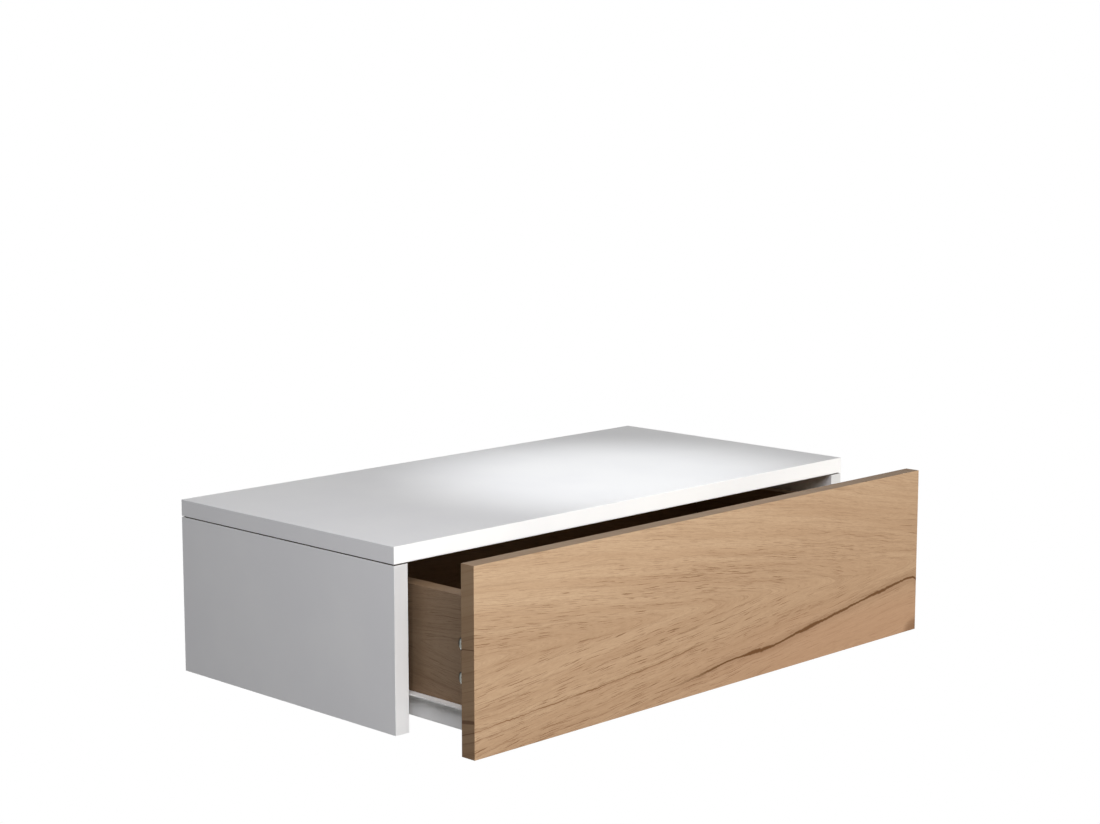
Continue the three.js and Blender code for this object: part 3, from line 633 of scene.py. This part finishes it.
for hand in HANDS:
    dress(f"side_panel_{hand}", SIDE_BOARD, BOARD_EDGE)
    dress(f"hanger_plate_{hand}", PLATE, THIN_EDGE)
    dress(f"cabinet_rail_{hand}", STEEL)
    dress(f"drawer_rail_{hand}", STEEL)
    dress(f"drawer_side_{hand}", OAK_SIDES[hand], BOARD_EDGE)
    dress(f"back_dowel_{hand}", BEECH)
    dress(f"back_cam_{hand}_bolt", PLATE)
    for end in ("front", "rear"):
        dress(f"top_cam_{hand}_{end}_bolt", PLATE)
    for end in ("upper", "lower"):
        dress(f"drawer_cam_{hand}_{end}_bolt", PLATE)
dress("top_panel", BOARD, BOARD_EDGE)
dress("back_panel", BOARD, BOARD_EDGE)
dress("drawer_front", OAK_FRONT, BOARD_EDGE)
dress("drawer_back", OAK_BACK, BOARD_EDGE)
dress("drawer_bottom", OAK_BOTTOM, THIN_EDGE)


# Small fittings, which replace their CAD nodes
def turned(name, profile, spokes, relief=None):
    """A solid of revolution from radius and height pairs in millimetres, with a relief on its first face."""
    mesh = bmesh.new()
    rings = []
    for radius, height in profile:
        if radius == 0:
            lift = relief(0.0, 0.0) if relief and not rings else 0.0
            rings.append([mesh.verts.new((0, 0, (height + lift) * MM))])
            continue
        ring = []
        for step in range(spokes):
            angle = 2 * math.pi * step / spokes
            x, y = radius * math.cos(angle), radius * math.sin(angle)
            lift = relief(x, y) if relief and height == profile[0][1] else 0.0
            ring.append(mesh.verts.new((x * MM, y * MM, (height + lift) * MM)))
        rings.append(ring)
    for inner, outer in zip(rings, rings[1:]):
        for step in range(spokes):
            after = (step + 1) % spokes
            if len(inner) == 1:
                mesh.faces.new((inner[0], outer[step], outer[after]))
            elif len(outer) == 1:
                mesh.faces.new((inner[step], outer[0], inner[after]))
            else:
                mesh.faces.new((inner[step], outer[step], outer[after], inner[after]))
    if profile[0] == profile[-1] and profile[0][0] > 0:
        bmesh.ops.remove_doubles(mesh, verts=mesh.verts, dist=SEAM * MM)
    bmesh.ops.recalc_face_normals(mesh, faces=mesh.faces)
    data = bpy.data.meshes.new(name)
    mesh.to_mesh(data)
    mesh.free()
    data.shade_smooth()
    return data


def place(node, name, data, material, out, toward, body, crease=SHARP_CREASE):
    """Puts a fitting where a CAD node is, with its face on the node's outer end."""
    lo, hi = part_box(node)
    middle, half = (lo + hi) / 2, (hi - lo) / 2
    reach = abs(half.dot(Vector(abs(value) for value in out)))
    obj = bpy.data.objects.new(name, data)
    bpy.context.scene.collection.objects.link(obj)
    side = toward.cross(out)
    basis = Matrix((side, toward, out)).transposed().to_4x4()
    obj.matrix_world = Matrix.Translation(middle + out * reach) @ basis
    data.materials.append(material)
    data.set_sharp_from_angle(angle=math.radians(crease))
    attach(obj, body)
    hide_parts(node)


def face_rings(radius):
    """Radii from the axis to the rim, a small step apart."""
    count = math.ceil(radius / FACE_STEP)
    return [radius * index / count for index in range(count + 1)]


def edge_share(value):
    """0 outside and 1 inside, with a short slope at the border."""
    return min(1.0, max(0.0, value / SOFT_EDGE + 0.5))


def cross(x, y, length, width):
    """How far inside a cross a point lies, from 0 to 1."""
    arms = [(x, y), (y, x)]
    inside = [min(length / 2 - abs(a), width / 2 - abs(b)) for a, b in arms]
    return edge_share(max(inside))


def cam_relief(x, y):
    """The sunk face of a cam lock, with its cross recess and an arrow at its rim."""
    radius = math.hypot(x, y)
    floor = edge_share(CAM_FLOOR_RADIUS - radius) * CAM_FLOOR_DEPTH
    share = (y - CAM_ARROW_BASE) / (CAM_ARROW_TIP - CAM_ARROW_BASE)
    arrow = edge_share(min(y - CAM_ARROW_BASE, CAM_ARROW_HALF * (1 - share) - abs(x)))
    floor *= 1 - CAM_ARROW_LIFT_SHARE * arrow
    recess = cross(x, y, CAM_CROSS, CAM_CROSS_WIDTH) * CAM_CROSS_DEPTH
    return -max(floor, recess)


def cam_profile(radius, depth):
    """A cam lock from the middle of its face to the middle of its foot."""
    face = [(ring, 0.0) for ring in face_rings(radius - CAM_RIM)]
    wall = [(radius, -CAM_RIM), (radius, -depth + CAM_RIM), (radius - CAM_RIM, -depth)]
    return [*face, *wall, (0.0, -depth)]


def screw_relief(x, y):
    """The cross recess of a screw."""
    return -cross(x, y, SCREW_CROSS, SCREW_CROSS_WIDTH) * SCREW_CROSS_DEPTH


def screw_profile(head, length):
    """A countersunk screw: its head, and a shank with a rolled thread that tapers to its tip."""
    shank = head * SHANK_SHARE
    head_depth = head * HEAD_DEPTH_SHARE
    flank = SCREW_PITCH * SCREW_FLANK_SHARE
    profile = [(ring, 0.0) for ring in face_rings(head)]
    profile.append((shank, -head_depth))
    level = head_depth + SCREW_PITCH
    while level < length - SCREW_BARE_TURNS * SCREW_PITCH:
        taper = min(1.0, (length - level) / (SCREW_TAPER_TURNS * SCREW_PITCH))
        core = (shank - SCREW_THREAD) * taper
        profile.append((core, -level + flank))
        profile.append((shank * taper, -level))
        profile.append((core, -level - flank))
        level += SCREW_PITCH
    return [*profile, (0.0, -length)]


def arc(centre_radius, centre_height, size, start, end, steps=6):
    """Points on an arc, in the plane of a turned profile."""
    angles = [math.radians(start + (end - start) * step / steps) for step in range(steps + 1)]
    return [(centre_radius + size * math.cos(a), centre_height + size * math.sin(a)) for a in angles]


def roller_profile(radius, width):
    """A nylon roller: bore, dished faces and a rounded tread."""
    low = -width
    tread = [
        *arc(radius - ROLLER_ROUND, -ROLLER_ROUND, ROLLER_ROUND, 90, 0),
        *arc(radius - ROLLER_ROUND, low + ROLLER_ROUND, ROLLER_ROUND, 0, -90),
    ]
    top = [(ROLLER_BORE, 0.0), (ROLLER_HUB, 0.0), (ROLLER_HUB + ROLLER_SLOPE, -ROLLER_DISH)]
    top += [(ROLLER_RIM - ROLLER_SLOPE, -ROLLER_DISH), (ROLLER_RIM, 0.0)]
    foot = [(ring, low - height) for ring, height in reversed(top)]
    return [*top, *tread, *foot, (ROLLER_BORE, 0.0)]


def bumper_profile(radius, thickness):
    """A flat round pad with a rounded shoulder."""
    shoulder = arc(radius - BUMPER_SHOULDER, -BUMPER_SHOULDER, BUMPER_SHOULDER, 90, 0)
    return [(0.0, 0.0), *shoulder, (radius, -thickness), (0.0, -thickness)]


def span(node, axis):
    """A node's length along an axis, in millimetres."""
    lo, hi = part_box(node)
    return abs((hi - lo).dot(axis)) / MM


def add_cam(node, out, toward, body):
    profile = cam_profile(span(node, toward) / 2, span(node, out))
    data = turned(node, profile, CAM_SPOKES, cam_relief)
    place(node, f"{node}_lock", data, CAST, out, toward, body)


def add_screw(node, out, body):
    profile = screw_profile(span(node, UP) / 2, span(node, out))
    data = turned(node, profile, SCREW_SPOKES, screw_relief)
    place(node, f"{node}_fine", data, PLATE, out, UP, body)


def add_roller(node, out, body):
    profile = roller_profile(span(node, UP) / 2, span(node, out))
    data = turned(node, profile, ROLLER_SPOKES)
    place(node, f"{node}_fine", data, NYLON, out, UP, body, ROUND_CREASE)


def add_bumper(node, out, body):
    profile = bumper_profile(span(node, UP) / 2, span(node, out))
    data = turned(node, profile, BUMPER_SPOKES)
    place(node, f"{node}_dome", data, SILICONE, out, UP, body, ROUND_CREASE)


for hand, sign in HANDS.items():
    outward = ACROSS * sign
    for end in ("front", "rear"):
        add_cam(f"top_cam_{hand}_{end}", -outward, UP, "cabinet")
        add_screw(f"cabinet_rail_screw_{hand}_{end}", -outward, "cabinet")
        add_screw(f"drawer_rail_screw_{hand}_{end}", outward, "drawer")
    for end in ("upper", "lower"):
        add_cam(f"drawer_cam_{hand}_{end}", outward, -DEEP, "drawer")
        add_screw(f"drawer_back_screw_{hand}_{end}", outward, "drawer")
    add_cam(f"back_cam_{hand}", DEEP, outward, "cabinet")
    for end in ("inner", "outer"):
        add_screw(f"hanger_screw_{hand}_{end}", DEEP, "cabinet")
    add_roller(f"cabinet_roller_{hand}", -outward, f"front_roller_{hand}")
    add_roller(f"drawer_roller_{hand}", -outward, f"rear_roller_{hand}")
    add_bumper(f"drawer_bumper_{hand}", DEEP, "drawer")


# Floor, seen white by the camera and in reflections, with the object's shadow on it
def seen_directly(graph):
    """1 for camera, mirror and glass rays, 0 for the light that falls on things."""
    rays = graph.node("ShaderNodeLightPath").outputs
    seen = graph.calc("MAXIMUM", rays["Is Camera Ray"], rays["Is Glossy Ray"])
    return graph.calc("MAXIMUM", seen, rays["Is Transmission Ray"])


def floor_material():
    """Pale near the object, where its shadow falls, and white as the surroundings further out."""
    s = Shader("floor")
    x, y = s.parts(s.place)[:2]
    away = s.vector(s.calc("SUBTRACT", x, SHADOW_MIDDLE.x), s.calc("SUBTRACT", y, SHADOW_MIDDLE.y), 0.0)
    length = s.node("ShaderNodeVectorMath", operation="LENGTH")
    s.feed(length.inputs[0], away)
    fade = s.remap(length.outputs["Value"], SHADOW_NEAR, SHADOW_FAR)
    plain = s.node("ShaderNodeBsdfDiffuse")
    s.feed(plain.inputs["Color"], FLOOR_DULL)
    pale = s.node("ShaderNodeBsdfDiffuse")
    mottled = s.mix(s.noise(s.place, scale=3.0, detail=3.0), FLOOR_PALE, FLOOR_PALER)
    s.feed(pale.inputs["Color"], s.mix(fade, mottled, BLACK))
    glow = s.node("ShaderNodeEmission")
    s.feed(glow.inputs["Strength"], s.remap(fade, 0.0, 1.0, FLOOR_GLOW, 1.0, "LINEAR"))
    bright = s.node("ShaderNodeAddShader")
    s.feed(bright.inputs[0], pale.outputs[0])
    s.feed(bright.inputs[1], glow.outputs[0])
    upper = s.node("ShaderNodeMixShader")
    s.feed(upper.inputs[0], seen_directly(s))
    s.feed(upper.inputs[1], plain.outputs[0])
    s.feed(upper.inputs[2], bright.outputs[0])
    clear = s.node("ShaderNodeBsdfTransparent")
    sided = s.node("ShaderNodeMixShader")
    s.feed(sided.inputs[0], s.node("ShaderNodeNewGeometry").outputs["Backfacing"])
    s.feed(sided.inputs[1], upper.outputs[0])
    s.feed(sided.inputs[2], clear.outputs[0])
    s.tree.nodes.remove(s.surface)
    s.feed(s.tree.nodes["Material Output"].inputs["Surface"], sided.outputs[0])
    return s.material


corners = [(-1, -1), (1, -1), (1, 1), (-1, 1)]
spots = [(x * FLOOR_HALF, y * FLOOR_HALF, FLOOR_LEVEL) for x, y in corners]
floor_data = bpy.data.meshes.new("floor")
floor_data.from_pydata(spots, [], [(0, 1, 2, 3)])
floor_data.materials.append(floor_material())
floor = bpy.data.objects.new("floor", floor_data)
bpy.context.scene.collection.objects.link(floor)

# Surroundings
AMBIENT = 0.05
world = bpy.data.worlds.new("studio")
world.use_nodes = True
bpy.context.scene.world = world
sky = Graph(world.node_tree)
background = world.node_tree.nodes["Background"]
sky.feed(background.inputs["Color"], WHITE)
sky.feed(background.inputs["Strength"], sky.remap(seen_directly(sky), 0.0, 1.0, AMBIENT, 1.0, "LINEAR"))

# Lamps. A lamp's level is what a white surface that faces it shows, with 1 as full white.
WARM = (1.0, 0.98, 0.94)
WARMISH = (1.0, 0.99, 0.95)
BLUISH = (0.95, 0.95, 1.0)
COOLISH = (0.95, 0.98, 1.0)
COOL = (0.9, 0.97, 1.0)
POOL_COLOUR = (0.96, 0.98, 1.0)
FRONT = Vector((0, -0.35, 0))
SIDE = Vector((-0.36, -0.3, -0.02))
MIDDLE = Vector((0, -0.2, 0))
INSIDE = Vector((-0.1, -0.2, -0.03))


def lamp(name, target, direction, distance, size, level, colour):
    """A round lamp, in a direction and at a distance from what it is aimed at."""
    data = bpy.data.lights.new(name, "AREA")
    data.shape = "DISK"
    data.size = size
    data.color = colour
    data.energy = level * math.pi**2 * distance**2
    obj = bpy.data.objects.new(name, data)
    bpy.context.scene.collection.objects.link(obj)
    away = Vector(direction).normalized()
    obj.location = target + away * distance
    obj.rotation_mode = "QUATERNION"
    obj.rotation_quaternion = away.to_track_quat("Z", "Y")
    return obj


lamp("high_front", FRONT, (-0.22, -0.82, 0.53), distance=4.0, size=0.8, level=0.15, colour=WARM)
lamp("low_left", FRONT, (-0.29, -0.94, 0.185), distance=4.0, size=0.2, level=0.33, colour=WARM)
lamp("low_right", FRONT, (0.34, -0.92, 0.185), distance=4.0, size=0.2, level=0.47, colour=WARMISH)
lamp("side_light", SIDE, (-0.5, -0.5, 0.71), distance=1.7, size=0.9, level=0.56, colour=BLUISH)
rear = lamp("rear_fill", MIDDLE, (0.62, 0.78, 0.02), distance=3.0, size=1.0, level=0.35, colour=COOLISH)
rear.visible_glossy = False
inside = lamp("inside_fill", INSIDE, (0, 0, 1), distance=0.1, size=0.25, level=0.065, colour=COOL)
inside.visible_camera = False
inside.visible_glossy = False

# The pool of light on the top
POOL = Vector((0.08, -0.24, 0.096))
POOL_HEIGHT = 0.6
POOL_RADIUS = 0.3
POOL_LEVEL = 0.52
POOL_BLEND = 0.9
POOL_SOFTNESS = 0.02
pool_data = bpy.data.lights.new("pool", "SPOT")
pool_data.energy = POOL_LEVEL * 4 * math.pi**2 * POOL_HEIGHT**2
pool_data.color = POOL_COLOUR
pool_data.spot_size = 2 * math.atan(POOL_RADIUS / POOL_HEIGHT)
pool_data.spot_blend = POOL_BLEND
pool_data.shadow_soft_size = POOL_SOFTNESS
pool = bpy.data.objects.new("pool", pool_data)
bpy.context.scene.collection.objects.link(pool)
pool.location = POOL + UP * POOL_HEIGHT

# Camera
camera_data = bpy.data.cameras.new("camera")
camera_data.lens = LENS
camera = bpy.data.objects.new("camera", camera_data)
bpy.context.scene.collection.objects.link(camera)
camera.location = EYE
camera.rotation_mode = "QUATERNION"
camera.rotation_quaternion = LOOK.to_track_quat("-Z", "Y")
bpy.context.scene.camera = camera
bpy.context.scene.view_settings.view_transform = "Standard"
